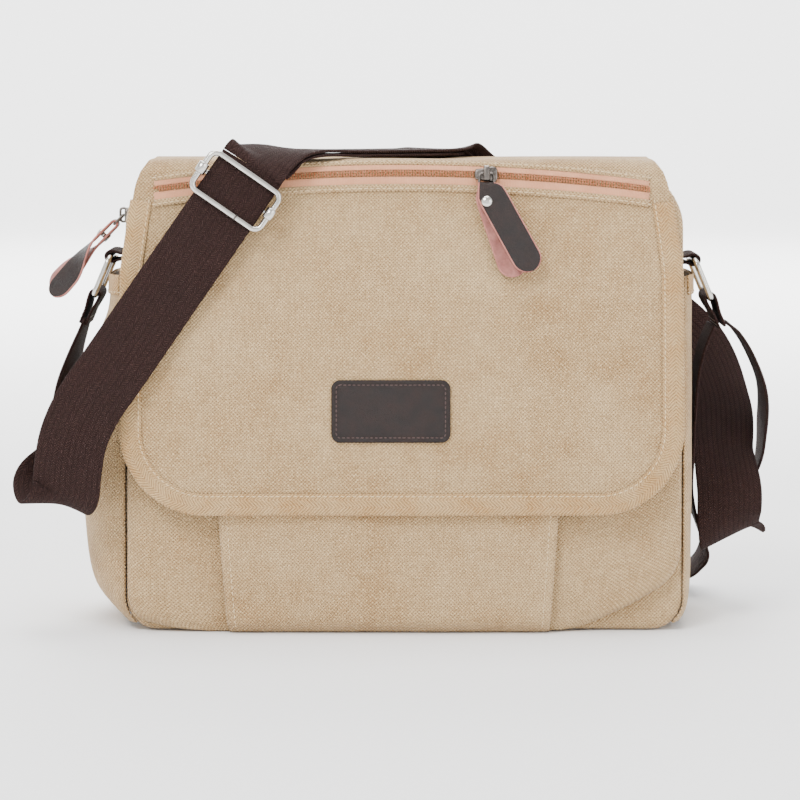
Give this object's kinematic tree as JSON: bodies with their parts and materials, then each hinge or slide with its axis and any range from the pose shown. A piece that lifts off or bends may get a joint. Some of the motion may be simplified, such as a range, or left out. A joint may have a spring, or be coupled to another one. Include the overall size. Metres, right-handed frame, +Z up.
{
  "type": "messenger bag",
  "caption": "Upright canvas messenger bag with a front flap, zipped top, side pockets and an adjustable webbing shoulder strap.",
  "frame": {"origin": "middle of the base panel's underside, on the ground", "axes": "+Z up, -Y out of the front with the flap, +X to the viewer's right when facing the front"},
  "size_m": [0.4324, 0.1793, 0.2774],
  "materials": {
    "canvas": "washed cotton canvas, coarse weave",
    "lining": "plain polyester lining",
    "board": "stiff fibre board",
    "tape": "herringbone cotton binding tape",
    "zip_tape": "woven zip tape",
    "zip_coil": "nylon coil",
    "webbing": "heavy cotton webbing",
    "leather": "polished grain leather",
    "steel": "nickel-plated wire",
    "dark_metal": "dark nickel"
  },
  "bodies": {
    "bag": {"front_panel": "canvas", "back_panel": "canvas", "base_panel": "canvas", "base_board": "board", "gusset_left": "canvas", "gusset_right": "canvas", "top_band_front": "canvas", "top_band_back": "canvas", "main_zip_tape_front": "zip_tape", "main_zip_tape_back": "zip_tape", "main_zip_coil": "zip_coil", "body_lining": "lining", "front_pocket": "canvas", "front_pocket_binding": "tape", "side_pocket_left": "canvas", "side_pocket_right": "canvas", "side_pocket_binding_left": "tape", "side_pocket_binding_right": "tape", "snap_socket_left": "dark_metal", "snap_socket_right": "dark_metal", "ring_tab_left": "webbing", "ring_tab_right": "webbing", "strap_left_loop": "webbing", "strap_back_run": "webbing", "strap_right_loop": "webbing", "strap_inner_back": "webbing", "strap_inner_right": "webbing"},
    "flap": {"flap_panel": "canvas", "flap_lining": "lining", "flap_binding": "tape", "flap_patch": "leather", "flap_zip_tape_upper": "zip_tape", "flap_zip_tape_lower": "zip_tape", "flap_zip_coil": "zip_coil", "snap_stud_left": "dark_metal", "snap_stud_right": "dark_metal", "strap_front_run": "webbing", "strap_over_top": "webbing", "strap_under_top": "webbing"},
    "flap_slider": {"flap_slider": "dark_metal"},
    "flap_pull": {"flap_pull_link": "dark_metal", "flap_pull_leather": "leather", "flap_pull_rivet": "dark_metal"},
    "main_slider": {"main_slider": "dark_metal"},
    "main_pull": {"main_pull_link": "dark_metal", "main_pull_leather": "leather", "main_pull_rivet": "dark_metal"},
    "ring_left": {"ring_left": "steel", "strap_fold_left": "webbing"},
    "ring_right": {"ring_right": "steel", "strap_fold_right": "webbing"},
    "adjuster": {"adjuster_frame": "steel"},
    "adjuster_bar": {"adjuster_bar": "steel", "strap_fold_adjuster": "webbing"}
  },
  "joints": [
    {"name": "flap_hinge", "type": "hinge", "parent": "bag", "child": "flap", "pos_m": [0, 0.035, 0.262], "axis": [-1, 0, 0], "range_deg": [0, 100]},
    {"name": "flap_zip_travel", "type": "hinge", "parent": "flap", "child": "flap_slider", "pos_m": [-0.0015, -0.32102, -0.80551], "axis": [0, -0.9668, 0.2554], "range_deg": [-3.9, 4.7]},
    {"name": "flap_pull_swing", "type": "hinge", "parent": "flap_slider", "child": "flap_pull", "pos_m": [0.046, -0.0449, 0.25819], "axis": [-1, 0, 0], "range_deg": [0, 110]},
    {"name": "main_zip_travel", "type": "hinge", "parent": "bag", "child": "main_slider", "pos_m": [-0.126, 0, 0.227], "axis": [0, 1, 0], "range_deg": [0, 25]},
    {"name": "main_pull_swing", "type": "hinge", "parent": "main_slider", "child": "main_pull", "pos_m": [-0.16185, 0, 0.233], "axis": [0, 1, 0], "range_deg": [0, 60]},
    {"name": "ring_left_swing", "type": "hinge", "parent": "bag", "child": "ring_left", "pos_m": [-0.168, 0, 0.21], "axis": [0, 1, 0], "range_deg": [-1.5, 8]},
    {"name": "ring_right_swing", "type": "hinge", "parent": "bag", "child": "ring_right", "pos_m": [0.166, 0, 0.208], "axis": [0, -1, 0], "range_deg": [-6, 8]},
    {"name": "adjuster_slide", "type": "slide", "parent": "flap", "child": "adjuster", "axis": [-0.5633, -0.1358, -0.815], "range_m": [0, 0.038]},
    {"name": "adjuster_bar_float", "type": "slide", "parent": "adjuster", "child": "adjuster_bar", "axis": [-0.5633, -0.1358, -0.815], "range_m": [-0.003, 0.003]}
  ]
}
